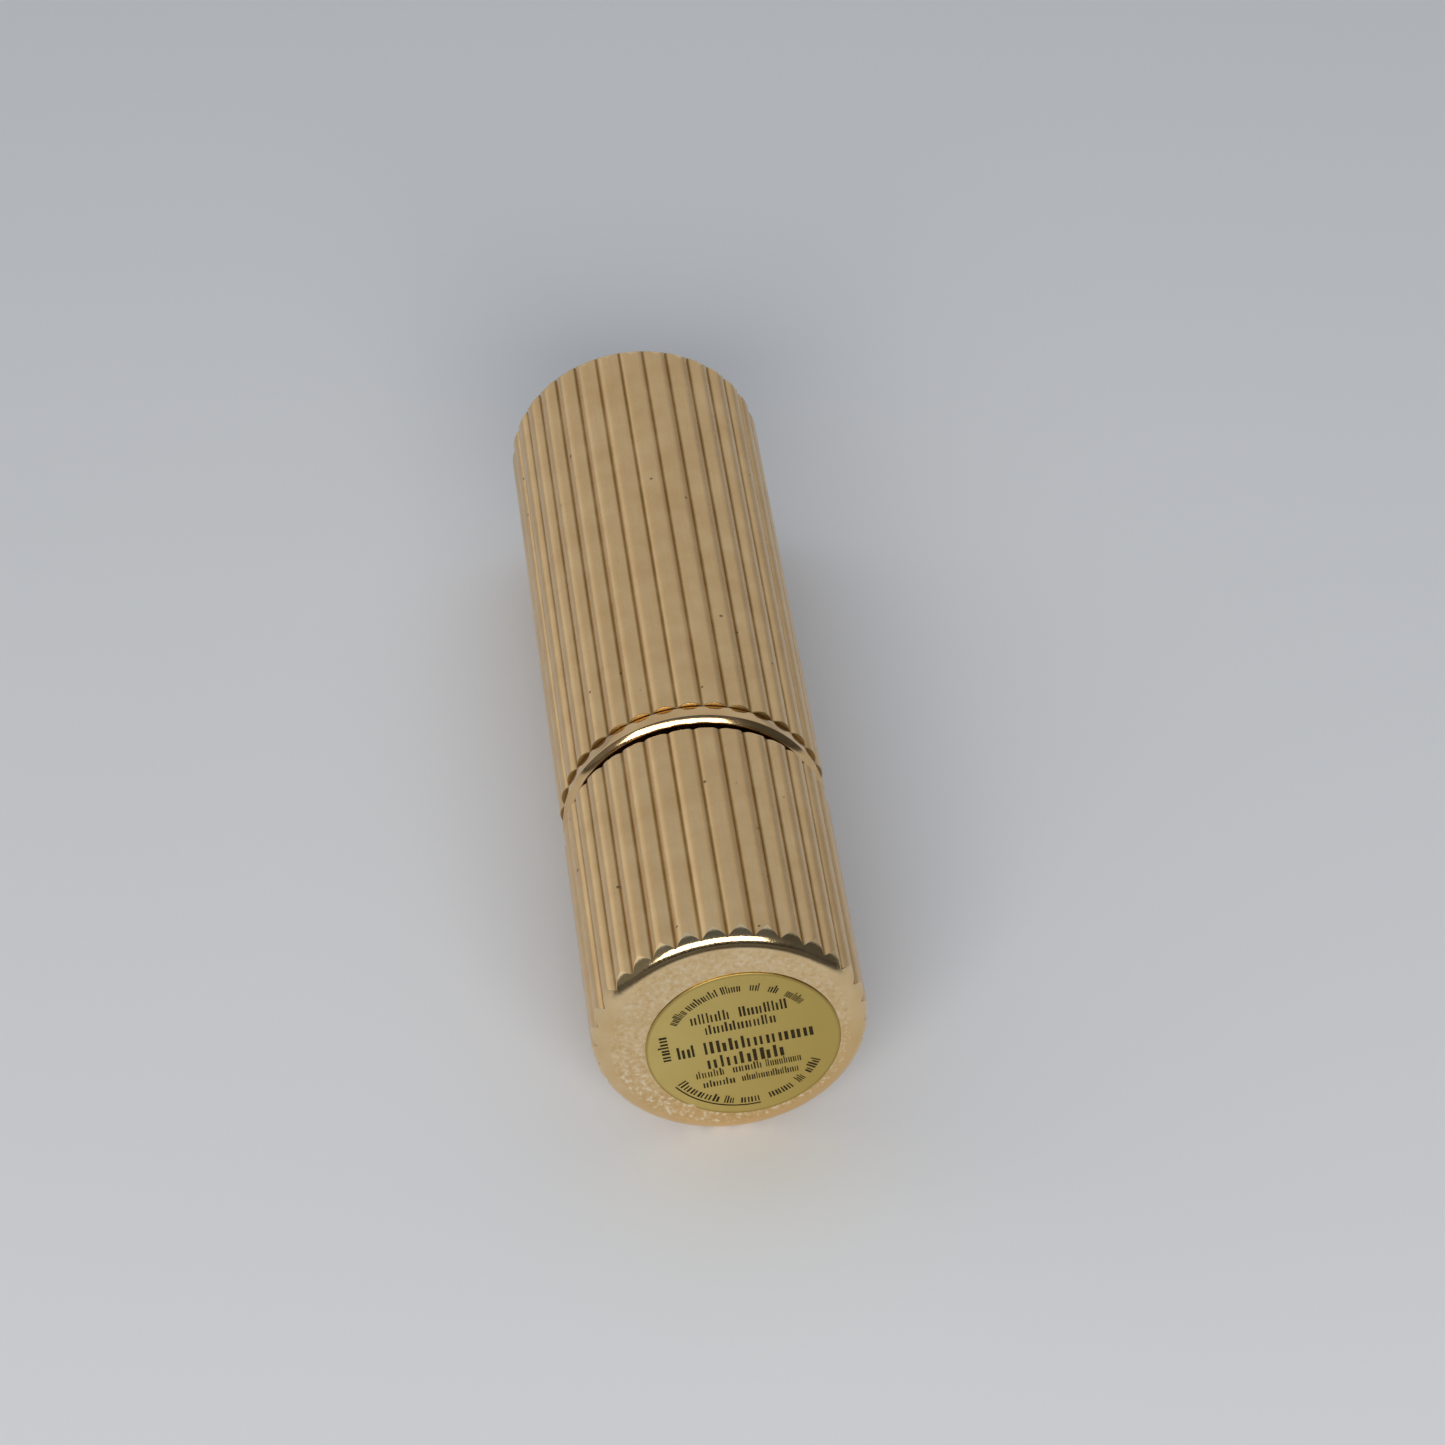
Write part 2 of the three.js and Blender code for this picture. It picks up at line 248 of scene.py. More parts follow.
def ribbed_shell(name, phase, low, high, closed_low):
    """A hollow ribbed shell. low and high are (y, outline, steps) of its two ends.

    The closed end has a flat face out to its end radius, and takes the face's plating over that
    face and its rounding. The other end is an open mouth.
    """
    materials = [MATERIALS["ribbed_gold"], MATERIALS["face_gold"]]
    columns = RIB_COUNT * len(RIB_SHARES)
    (low_y, low_outline, low_steps), (high_y, high_outline, high_steps) = low, high
    low_r, high_r = low_outline[0][0], high_outline[0][0]
    verts = []
    for i in range(columns):
        share = RIB_SHARES[i % len(RIB_SHARES)]
        angle = phase + (i // len(RIB_SHARES) + share) * 2 * math.pi / RIB_COUNT
        radius = rib_radius(share)
        skin = [(r, low_y + d) for r, d in end_rows(radius, low_outline, low_steps)]
        skin += [(radius, low_y + (high_y - low_y) * k / (MIDDLE_ROWS + 1))
                 for k in range(1, MIDDLE_ROWS + 1)]
        skin += [(r, high_y - d) for r, d in reversed(end_rows(radius, high_outline, high_steps))]
        if closed_low:
            face = [(low_r * k / FACE_ROWS, low_y) for k in range(FACE_ROWS)]
            floor = low_y + END_WALL
            wall = [(BORE_R + LIP_EDGE, high_y), (BORE_R, high_y - LIP_EDGE), (BORE_R, floor), (0, floor)]
            profile = face + skin + wall
        else:
            face = [(high_r * k / FACE_ROWS, high_y) for k in reversed(range(FACE_ROWS))]
            floor = high_y - END_WALL
            wall = [(0, floor), (BORE_R, floor), (BORE_R, low_y + LIP_EDGE),
                    (BORE_R + LIP_EDGE, low_y), (GROOVE_R - LIP_EDGE, low_y)]
            profile = wall + skin + face
        verts += [round_axis(angle, r, y) for r, y in profile]
    rows = len(verts) // columns
    if closed_low:
        polished = range(0, FACE_ROWS + low_steps)
    else:
        polished = range(rows - 1 - FACE_ROWS - high_steps, rows - 1)
    slots = [1 if j in polished else 0 for j in range(rows - 1)] * columns
    return new_object(name, verts, grid_faces(columns, rows), materials, RIB_SHARP_ANGLE, slots)


def make_base_shell():
    end = (BASE_FACE, sloped_end(), BASE_END_STEPS)
    rim = (BASE_MOUTH - BASE_RIM_SET_BACK, quarter_end(BASE_RIM_R, BASE_RIB_END), BASE_MOUTH_STEPS)
    return ribbed_shell("base_skin", BASE_RIB_PHASE, end, rim, True)


def make_cap_shell():
    mouth = (CAP_MOUTH, quarter_end(GROOVE_R, CAP_RIB_END), CAP_MOUTH_STEPS)
    end = (CAP_END, quarter_end(CASE_R - CAP_FILLET, CAP_FILLET), CAP_END_STEPS)
    return ribbed_shell("cap_skin", CAP_RIB_PHASE, mouth, end, False)


# ------------------------------------------------------------------ materials

RAMP_SOCKETS = ("From Min", "From Max", "To Min", "To Max")      # of a Map Range node
MIX_A, MIX_B, MIX_RESULT = 6, 7, 2                              # a Mix node's colour sockets


class Shader:
    """One procedural material, built node by node."""

    def __init__(self, name):
        self.material = bpy.data.materials.new(name)
        self.material.use_nodes = True
        self.tree = self.material.node_tree
        self.tree.nodes.clear()
        output = self.tree.nodes.new("ShaderNodeOutputMaterial")
        self.bsdf = self.tree.nodes.new("ShaderNodeBsdfPrincipled")
        self.link(self.bsdf.outputs["BSDF"], output.inputs["Surface"])

    def link(self, source, target):
        self.tree.links.new(source, target)

    def put(self, value, socket):
        if isinstance(value, bpy.types.NodeSocket):
            self.link(value, socket)
        else:
            socket.default_value = value

    def set(self, **values):
        for name, value in values.items():
            self.put(value, self.bsdf.inputs[name.replace("_", " ")])

    def node(self, kind, **settings):
        made = self.tree.nodes.new(kind)
        for name, value in settings.items():
            setattr(made, name, value)
        return made

    def position(self, stretch=(1, 1, 1), origin=(0, 0, 0)):
        """The point in millimetres from an origin in metres, squeezed along some axes."""
        coords = self.node("ShaderNodeTexCoord")
        mapping = self.node("ShaderNodeMapping")
        self.link(coords.outputs["Object"], mapping.inputs["Vector"])
        mapping.inputs["Scale"].default_value = [s / MM for s in stretch]
        mapping.inputs["Location"].default_value = [-o * s / MM for o, s in zip(origin, stretch)]
        return mapping.outputs["Vector"]

    def noise(self, vector, per_mm, detail=3.0, roughness=0.55):
        made = self.node("ShaderNodeTexNoise")
        self.link(vector, made.inputs["Vector"])
        made.inputs["Scale"].default_value = per_mm
        made.inputs["Detail"].default_value = detail
        made.inputs["Roughness"].default_value = roughness
        return made.outputs["Fac"]

    def math(self, operation, a, b=0.0):
        made = self.node("ShaderNodeMath", operation=operation)
        self.put(a, made.inputs[0])
        self.put(b, made.inputs[1])
        return made.outputs[0]

    def spread(self, value, low, high, to_low=0.0, to_high=1.0):
        """value mapped from low..high to to_low..to_high, clamped."""
        made = self.node("ShaderNodeMapRange")
        made.clamp = True
        self.put(value, made.inputs["Value"])
        for name, number in zip(RAMP_SOCKETS, (low, high, to_low, to_high)):
            made.inputs[name].default_value = number
        return made.outputs["Result"]

    def mix(self, factor, a, b):
        made = self.node("ShaderNodeMix", data_type="RGBA")
        self.put(factor, made.inputs["Factor"])
        self.put((*a, 1) if isinstance(a, tuple) else a, made.inputs[MIX_A])
        self.put((*b, 1) if isinstance(b, tuple) else b, made.inputs[MIX_B])
        return made.outputs[MIX_RESULT]

    def specks(self, vector, per_mm, size, share):
        """1 in small round spots, one in some of the cells of a Voronoi pattern."""
        made = self.node("ShaderNodeTexVoronoi")
        self.link(vector, made.inputs["Vector"])
        made.inputs["Scale"].default_value = per_mm
        made.inputs["Randomness"].default_value = 1.0
        colour = self.node("ShaderNodeSeparateColor")
        self.link(made.outputs["Color"], colour.inputs["Color"])
        chosen = self.spread(colour.outputs["Red"], 1 - share, 1 - share + 0.01)
        radius = self.math("MULTIPLY", colour.outputs["Green"], size)
        spot = self.math("LESS_THAN", made.outputs["Distance"], radius)
        return self.math("MULTIPLY", chosen, spot)

    def bump(self, height, distance_mm, strength=1.0):
        made = self.node("ShaderNodeBump")
        made.inputs["Distance"].default_value = distance_mm * MM
        made.inputs["Strength"].default_value = strength
        self.link(height, made.inputs["Height"])
        self.link(made.outputs["Normal"], self.bsdf.inputs["Normal"])

    def parts(self, vector):
        """The X, Y and Z of a vector."""
        made = self.node("ShaderNodeSeparateXYZ")
        self.link(vector, made.inputs["Vector"])
        return made.outputs

    def off_axis(self, x=0.0, z=AXIS_Z):
        """Distance from a line along Y through x and z, in millimetres."""
        across, _, high = self.parts(self.position(origin=(x, 0, z)))
        squares = [self.math("MULTIPLY", side, side) for side in (across, high)]
        return self.math("SQRT", self.math("ADD", *squares))


GOLD = (0.75, 0.52, 0.268)
# worn tone of the plating, also the colour of the painted shade mottle on the end faces
GOLD_WORN_AND_SHADE = (0.67, 0.44, 0.21)
# painted a little brighter than GOLD, as painted light on the end faces
GOLD_FACE = (0.84, 0.63, 0.36)
GOLD_FACE_SHADE = (0.76, 0.54, 0.27)
GOLD_FACE_WARM = (0.82, 0.52, 0.2)
# colour of the painted glints on the end faces
GOLD_GLINT = (1.0, 0.9, 0.7)
# brown of the grooves and the cap's rib ends: tarnish with painted shade in it
TARNISH_AND_SHADE = (0.24, 0.13, 0.025)
PIT = (0.10, 0.06, 0.03)
FILM = (0.62, 0.48, 0.165)
FILM_SHADE = (0.50, 0.365, 0.10)
FILM_CLOUD = (0.5, 0.38, 0.1)
FILM_RIM = (0.28, 0.19, 0.04)
INK = (0.02, 0.012, 0.003)
INK_WORN = (0.045, 0.03, 0.008)
WAX = (0.30, 0.095, 0.055)
WAX_DARK = (0.26, 0.075, 0.042)
WAX_PEARL = (0.62, 0.36, 0.2)
WHITE_PLASTIC = (0.82, 0.80, 0.74)
WHITE_PLASTIC_AGED = (0.78, 0.74, 0.64)
IVORY_PLASTIC = (0.76, 0.72, 0.62)
IVORY_PLASTIC_AGED = (0.7, 0.64, 0.5)
RUBBER = (0.02, 0.02, 0.02)
RUBBER_WORN = (0.05, 0.05, 0.05)
STEEL = (0.42, 0.42, 0.43)
STEEL_BRIGHT = (0.55, 0.55, 0.56)


def ribbed_gold():
    """Satin gold plating, pitted and streaked, dark in the grooves with tarnish and painted shade, and
    with painted shade where the cap's ribs end.
    """
    s = Shader("ribbed_gold")
    point = s.position()
    lengthwise = s.position((1, 0.04, 1))
    radius = s.off_axis()
    cloud = s.noise(point, 0.35, 4)
    streak = s.noise(lengthwise, 5.0, 4)
    fine = s.noise(lengthwise, 14.0, 2)
    colour = s.mix(s.spread(cloud, 0.35, 0.7), GOLD, GOLD_WORN_AND_SHADE)
    colour = s.mix(s.spread(streak, 0.45, 0.75, 0, 0.35), colour, GOLD_WORN_AND_SHADE)
    # tarnish in the grooves, darkened further as painted shade for the grooves' occlusion and
    # inter-reflection
    depth = s.spread(radius, GROOVE_R / MM, GROOVE_R / MM + 0.1, 1, 0)
    outside = s.spread(radius, BORE_R / MM + 0.1, BORE_R / MM + 0.3)
    grime_and_shade = s.math("MULTIPLY", s.math("MULTIPLY", depth, outside), s.spread(cloud, 0.2, 0.6, 0.7, 1))
    # painted shade on the walls where the cap's ribs end by its mouth, in the same brown as the grooves
    from_mouth = s.math("ABSOLUTE", s.parts(s.position(origin=(0, CAP_MOUTH, 0)))["Y"])
    rib_end_shade = s.spread(from_mouth, 0.05, 0.14, 0.85, 0)
    grime_and_shade = s.math("MAXIMUM", grime_and_shade, s.math("MULTIPLY", rib_end_shade, outside))
    colour = s.mix(grime_and_shade, colour, TARNISH_AND_SHADE)
    pits = s.specks(point, 0.9, 0.13, 0.25)
    colour = s.mix(s.math("MULTIPLY", pits, 0.75), colour, PIT)
    roughness = s.math("ADD", s.spread(streak, 0.3, 0.7, 0.2, 0.3), s.math("MULTIPLY", grime_and_shade, 0.15))
    s.set(Base_Color=colour, Metallic=1.0, Roughness=roughness)
    height = s.math("ADD", s.math("MULTIPLY", fine, 0.6), s.math("MULTIPLY", pits, -1.5))
    s.bump(height, 0.012, 0.5)
    return s.material


def face_gold():
    """End faces' plating, its gold painted brighter than the ribs' as painted light, mottled with painted
    glints and painted shade, warmer lower down, smooth on the rounding.
    """
    s = Shader("face_gold")
    point = s.position()
    cloud = s.noise(point, 0.4, 3)
    mottle = s.noise(point, 2.4, 4, 0.7)
    grain = s.noise(point, 6.0, 3)
    flat = s.spread(s.off_axis(), 8.1, 8.4, 1, 0)
    across, _, high = s.parts(point)
    low = s.spread(high, 13.0, 4.0)
    warm = s.math("MULTIPLY", low, s.spread(across, -7.0, 8.0, 0.1, 0.6))
    colour = s.mix(s.spread(cloud, 0.35, 0.7), GOLD_FACE, GOLD_FACE_SHADE)
    colour = s.mix(warm, colour, GOLD_FACE_WARM)
    # painted glints, the floor's sparkle as a painted reflection, over the flat face and most of all
    # lower down
    glint_reach = s.math("MULTIPLY", flat, s.math("MAXIMUM", low, 0.3))
    glint = s.math("MULTIPLY", s.spread(mottle, 0.52, 0.62), glint_reach)
    colour = s.mix(glint, colour, GOLD_GLINT)
    # painted shade in the mottle's low spots, the dark half of the painted reflection
    shade = s.math("MULTIPLY", s.spread(mottle, 0.48, 0.36, 0, 0.6), flat)
    colour = s.mix(shade, colour, GOLD_WORN_AND_SHADE)
    scuffs = s.specks(point, 0.7, 0.12, 0.12)
    colour = s.mix(s.math("MULTIPLY", scuffs, 0.6), colour, PIT)
    s.set(Base_Color=colour, Metallic=1.0, Roughness=s.spread(grain, 0.3, 0.7, 0.1, 0.18))
    s.bump(s.math("ADD", mottle, s.math("MULTIPLY", grain, 0.2)), 0.01, 0.35)
    return s.material


def polished_gold():
    """Brighter, smoother plating of the cap's band and the sleeve."""
    s = Shader("polished_gold")
    point = s.position()
    cloud = s.noise(point, 0.5, 4)
    fine = s.noise(s.position((1, 6, 1)), 3.0, 3)
    colour = s.mix(s.spread(cloud, 0.35, 0.7), GOLD, GOLD_WORN_AND_SHADE)
    pits = s.specks(point, 0.8, 0.1, 0.15)
    colour = s.mix(s.math("MULTIPLY", pits, 0.6), colour, PIT)
    s.set(Base_Color=colour, Metallic=1.0, Roughness=s.spread(fine, 0.3, 0.7, 0.1, 0.17))
    s.bump(fine, 0.004, 0.4)
    return s.material


def plastic(name, colour, shade):
    """Moulded plastic with a faint grain and slight yellowing."""
    s = Shader(name)
    cloud = s.noise(s.position(), 0.25, 3)
    grain = s.noise(s.position(), 8.0, 2)
    s.set(Base_Color=s.mix(s.spread(cloud, 0.35, 0.7), colour, shade),
          Roughness=s.spread(grain, 0.3, 0.7, 0.3, 0.42), Subsurface_Weight=0.1)
    s.bsdf.inputs["Subsurface Radius"].default_value = (0.6 * MM, 0.5 * MM, 0.4 * MM)
    s.bump(grain, 0.004, 0.5)
    return s.material


def label_film(centre, radius):
    """Olive-gold foil, painted lighter to the left as painted light, with a thin darker rim."""
    s = Shader("label_film")
    cloud = s.noise(s.position(), 0.45, 3)
    fibre = s.noise(s.position(), 9.0, 3)
    across = s.parts(s.position(origin=centre))["X"]
    # painted light: the foil goes from lighter on the left to FILM_SHADE on the right, as light falls
    # from the left
    colour = s.mix(s.spread(across, -6.0, 5.0), FILM, FILM_SHADE)
    colour = s.mix(s.spread(cloud, 0.35, 0.7, 0, 0.3), colour, FILM_CLOUD)
    rim = s.spread(s.off_axis(centre.x, centre.z), radius / MM - 0.22, radius / MM - 0.08)
    colour = s.mix(s.math("MULTIPLY", rim, 0.6), colour, FILM_RIM)
    s.set(Base_Color=colour, Metallic=0.75, Roughness=s.spread(fibre, 0.3, 0.7, 0.34, 0.46))
    s.bump(fibre, 0.004, 0.4)
    return s.material


def ink():
    """Dark brown printing."""
    s = Shader("label_ink")
    patch = s.noise(s.position(), 6.0, 3)
    s.set(Base_Color=s.mix(s.spread(patch, 0.35, 0.7), INK, INK_WORN),
          Roughness=0.6, Specular_IOR_Level=0.15)
    return s.material


def wax():
    """Bronze-brown lipstick with a fine pearl shimmer."""
    s = Shader("lipstick_wax")
    point = s.position()
    cloud = s.noise(point, 0.5, 3)
    pearl = s.specks(point, 9.0, 0.35, 0.3)
    colour = s.mix(s.spread(cloud, 0.3, 0.7), WAX, WAX_DARK)
    colour = s.mix(s.math("MULTIPLY", pearl, 0.5), colour, WAX_PEARL)
    s.set(Base_Color=colour, Roughness=s.spread(cloud, 0.3, 0.7, 0.3, 0.4), Subsurface_Weight=0.2,
          Metallic=s.math("MULTIPLY", pearl, 0.5))
    s.bsdf.inputs["Subsurface Radius"].default_value = (0.8 * MM, 0.3 * MM, 0.2 * MM)
    s.bump(s.noise(s.position((1, 0.2, 1)), 2.0, 3), 0.02, 0.4)
    return s.material


def rubber():
    """Dull black rubber with a fine grain."""
    s = Shader("black_rubber")
    grain = s.noise(s.position(), 6.0, 3)
    s.set(Base_Color=s.mix(grain, RUBBER, RUBBER_WORN), Roughness=0.7)
    s.bump(grain, 0.01, 0.5)
    return s.material


def steel():
    """Bare turned steel."""
    s = Shader("steel")
    turning = s.noise(s.position((1, 8, 1)), 1.5, 3)
    s.set(Base_Color=s.mix(turning, STEEL, STEEL_BRIGHT), Metallic=1.0,
          Roughness=s.spread(turning, 0.3, 0.7, 0.3, 0.42))
    s.bump(turning, 0.005, 0.4)
    return s.material


LABEL_LOW, LABEL_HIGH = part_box("shade_label")
LABEL_R = (LABEL_HIGH.x - LABEL_LOW.x) / 2
LABEL_CENTRE = Vector(((LABEL_LOW.x + LABEL_HIGH.x) / 2, 0, (LABEL_LOW.z + LABEL_HIGH.z) / 2))

MATERIALS = {
    "ribbed_gold": ribbed_gold(),
    "face_gold": face_gold(),
    "polished_gold": polished_gold(),
    "white_plastic": plastic("white_plastic", WHITE_PLASTIC, WHITE_PLASTIC_AGED),
    "ivory_plastic": plastic("ivory_plastic", IVORY_PLASTIC, IVORY_PLASTIC_AGED),
    "label_film": label_film(LABEL_CENTRE, LABEL_R),
    "label_ink": ink(),
    "lipstick_wax": wax(),
    "black_rubber": rubber(),
    "steel": steel(),
}


# ------------------------------------------------------------------ smooth pieces

def make_mouth_ring():
    """Band round the mouth that leans in toward the cap's ribs, with a bellied bevel toward the base."""
    inner, low, high = 8.66, 22.19, 23.66
    low_edge = arc(8.869, 22.441, 0.25, -90, -62, 5)
    bevel = arc(8.329, 23.457, 1.4, -62, -42, 8)
    turn = arc(9.28, 22.6, 0.12, -42, 8, 8)         # from the bevel to the leaning band
    high_edge = arc(9.18, 23.58, 0.08, 8, 90, 5)
    profile = [(inner, low)] + low_edge + bevel[1:] + turn[1:] + high_edge + [(inner, high), (inner, low)]
    return turned("cap_bead", in_frame(profile), "polished_gold", FINE_SEGMENTS)


def make_label():
    """Round foil sticker, a little off the axis, with a nick in its edge."""
    edge = 0.03 * MM
    nick_at, nick_width, nick_depth = math.radians(212), math.radians(2.2), 0.22 * MM
    nick_from = 0.9             # share of the radius past which the nick shows
    depth_kept = 0.9            # share of the CAD label's thickness, as the film starts behind its print
    thickness = LABEL_HIGH.y - LABEL_LOW.y
    profile = [(0.0, 0), (0.5, 0), (0.93, 0), (1 - edge / LABEL_R, 0), (1, edge), (1, thickness),
               (0.0, thickness)]
    verts = []
    for i in range(FINE_SEGMENTS):
        angle = 2 * math.pi * i / FINE_SEGMENTS
        nick = nick_depth * math.exp(-((angle - nick_at) / nick_width) ** 2)
        for share, depth in profile:
            r = share * (LABEL_R - nick * (share > nick_from))
            y = LABEL_FACE + PRINT_DEPTH + depth_kept * depth
            verts.append((LABEL_CENTRE.x + r * math.sin(angle), y, LABEL_CENTRE.z + r * math.cos(angle)))
    faces = grid_faces(FINE_SEGMENTS, len(profile))
    return new_object("label_disc", verts, faces, [MATERIALS["label_film"]])


# The label's print, in millimetres from its centre. Words are rows of plain upright bars.
LABEL_TILT = math.radians(8.5)
PRINT_DEPTH = 0.012 * MM    # from the label's face back to its film
PRINT_FRONT = 0.002 * MM    # how far the bars' fronts are behind the label's face
PRINT_SUNK = 0.004 * MM     # how far the bars' backs are behind the film's surface
BAR_WIDTHS = (0.2, 0.32)    # least and most, as shares of a letter's pitch; a letter is two bars
BAR_HEIGHTS = (0.72, 0.72, 1.0)             # shares of the line's height, drawn at random
BAR_MARGIN, BAR_STEP = 0.08, 0.46           # shares of the pitch before and between the two bars
UNDERLINE_STEPS = 24
PRINT_LINES = [             # height of the line's middle, of its bars, (from, to, letters) of words
    (3.15, 0.95, [(-3.25, -0.45, 5), (0.1, 3.5, 6)]),
    (2.0, 0.9, [(-2.4, 2.6, 9)]),
    (0.25, 1.15, [(-4.6, -3.25, 2), (-2.75, 4.95, 9)]),
    (-1.2, 1.15, [(-2.75, 2.75, 6)]),
    (-2.2, 0.7, [(-3.65, -1.6, 5), (-1.1, 1.0, 5), (1.2, 3.7, 8)]),
    (-3.2, 0.65, [(-3.3, -1.0, 5), (-0.6, 3.4, 12)]),
]
PRINT_ARCS = [              # radius of the line's middle, height, 1 if read from inside, words in degrees
    (5.45, 0.7, 1, [(154, 138, 5), (136, 109, 6), (107, 92, 4), (86, 78, 2), (72, 64, 2), (58, 42, 5)]),
    (5.35, 0.7, -1, [(217, 253, 6), (256, 264, 2), (268, 283, 3), (289, 309, 4), (313, 320, 2),
                     (324, 340, 3)]),
]
SIDE_MARK = (-5.4, 0.9, 2.5, 0.75, 4)       # across, up, length, height, letters
UNDERLINE = (5.85, 218, 282, 0.11)          # radius, from, to, thickness


def make_print():
    """Rows of small upright bars where a real label has its words, on the label's film."""
    draw = random.Random(7)
    verts, faces = [], []

    def plate(outline):
        """A thin closed plate with a convex outline, listed anticlockwise as seen from the front."""
        start, count = len(verts), len(outline)
        for y in (LABEL_FACE + PRINT_FRONT, LABEL_FACE + PRINT_DEPTH + PRINT_SUNK):
            verts.extend((LABEL_CENTRE.x + a * MM, y, LABEL_CENTRE.z + b * MM) for a, b in outline)
        faces.append(tuple(range(start, start + count)))
        faces.append(tuple(reversed(range(start + count, start + 2 * count))))
        for i in range(count):
            j = (i + 1) % count
            faces.append((start + j, start + i, start + count + i, start + count + j))

    def bars(length, height, count):
        """Corners of each bar of one word, along from its start and up from its middle."""
        pitch = length / count
        for i in range(count):
            for half in (0, 1):
                wide = pitch * draw.uniform(*BAR_WIDTHS)
                tall = height * draw.choice(BAR_HEIGHTS)
                left = pitch * (i + BAR_MARGIN + BAR_STEP * half)
                low = -height / 2
                yield left, left + wide, low, low + tall

    def tilted(a, b):
        c, s = math.cos(LABEL_TILT), math.sin(LABEL_TILT)
        return a * c - b * s, a * s + b * c

    def on_circle(r, angle):
        return r * math.cos(angle), r * math.sin(angle)

    for middle, height, words in PRINT_LINES:
        for start, end, count in words:
            for left, right, low, high in bars(end - start, height, count):
                corners = [(left, low), (right, low), (right, high), (left, high)]
                plate([tilted(start + a, middle + b) for a, b in corners])
    for radius, height, sense, words in PRINT_ARCS:
        for start, end, count in words:
            length = math.radians(abs(end - start)) * radius
            for left, right, low, high in bars(length, height, count):
                corners = [(left, low), (right, low), (right, high), (left, high)]
                plate([on_circle(radius + sense * b, math.radians(start) - sense * a / radius)
                       for a, b in corners])
    across, up, length, height, count = SIDE_MARK
    for left, right, low, high in bars(length, height, count):
        corners = [(left, low), (right, low), (right, high), (left, high)]
        plate([tilted(across - b, up - length / 2 + a) for a, b in corners])
    radius, start, end, thick = UNDERLINE
    angles = [math.radians(start + (end - start) * k / UNDERLINE_STEPS)
              for k in range(UNDERLINE_STEPS + 1)]
    for a0, a1 in zip(angles, angles[1:]):
        plate([on_circle(radius, a0), on_circle(radius + thick, a0),
               on_circle(radius + thick, a1), on_circle(radius, a1)])
    return new_object("label_print", verts, faces, [MATERIALS["label_ink"]])


def make_sleeve():
    """Polished sleeve with a rolled-in lip."""
    outer, inner, lip_inner, rim, low = 8.04, 7.66, 6.7, 41.0, 6.72
    edge, roll, lip_round = 0.05, 0.45, 0.2
    profile = [(inner, low), (outer - edge, low), (outer, low + edge)]
    profile += arc(outer - roll, rim - roll, roll, 0, 90, 10)
    profile += arc(lip_inner + lip_round, rim - lip_round, lip_round, 90, 180, 6)
    profile += [(lip_inner, rim - roll), (inner, rim - roll), (inner, low)]
    return turned("sleeve_skin", in_frame(profile), "polished_gold", FINE_SEGMENTS)


LINER_R, LINER_BORE = 8.6, 8.12
LINER_EDGE, LINER_LEAD = 0.1, 0.25          # chamfers of the outer edges and inside the mouth


def make_base_liner():
    low, floor, rim, corner = 4.4, 5.2, 19.8, 0.15
    profile = [(0, low), (LINER_R - LINER_EDGE, low), (LINER_R, low + LINER_EDGE),
               (LINER_R, rim - LINER_EDGE), (LINER_R - LINER_EDGE, rim), (LINER_BORE + LINER_LEAD, rim),
               (LINER_BORE, rim - LINER_LEAD), (LINER_BORE, floor + corner),
               (LINER_BORE - corner, floor), (0, floor)]
    return turned("base_lining", in_frame(profile), "white_plastic")


def make_cap_liner():
    rim, floor, high, corner = 24.2, 63.2, 64.1, 0.2
    profile = [(0, floor), (LINER_BORE - corner, floor), (LINER_BORE, floor - corner),
               (LINER_BORE, rim + LINER_LEAD), (LINER_BORE + LINER_LEAD, rim),
               (LINER_R - LINER_EDGE, rim), (LINER_R, rim + LINER_EDGE),
               (LINER_R, high - LINER_EDGE), (LINER_R - LINER_EDGE, high), (0, high)]
    return turned("cap_lining", in_frame(profile), "white_plastic")


LUG_HEIGHT, LIFT = 7.9, 21      # the cup's lugs at rest, and how far they rise along the fork's slots


def make_fork_tube():
    """Tube fixed in the base, with the two long slots that keep the cup from turning."""
    hole, inner, outer, flange, edge = 2.5, 6.3, 6.86, 7.85, 0.08
    low, floor, top = 5.26, 6.06, 39.6
    profile = [(hole, low), (flange, low), (flange, floor), (outer, floor), (outer, top - edge),
               (outer - edge, top), (inner + edge, top), (inner, top - edge), (inner, floor),
               (hole, floor), (hole, low)]
    tube = turned("fork_body", in_frame(profile), "white_plastic")
    slot_half, past_walls = 0.95, 20 * MM
    cut_box(tube, (-slot_half * MM, along(LUG_HEIGHT - slot_half), AXIS_Z - past_walls),
            (slot_half * MM, along(LUG_HEIGHT + LIFT + slot_half), AXIS_Z + past_walls))
    return tube


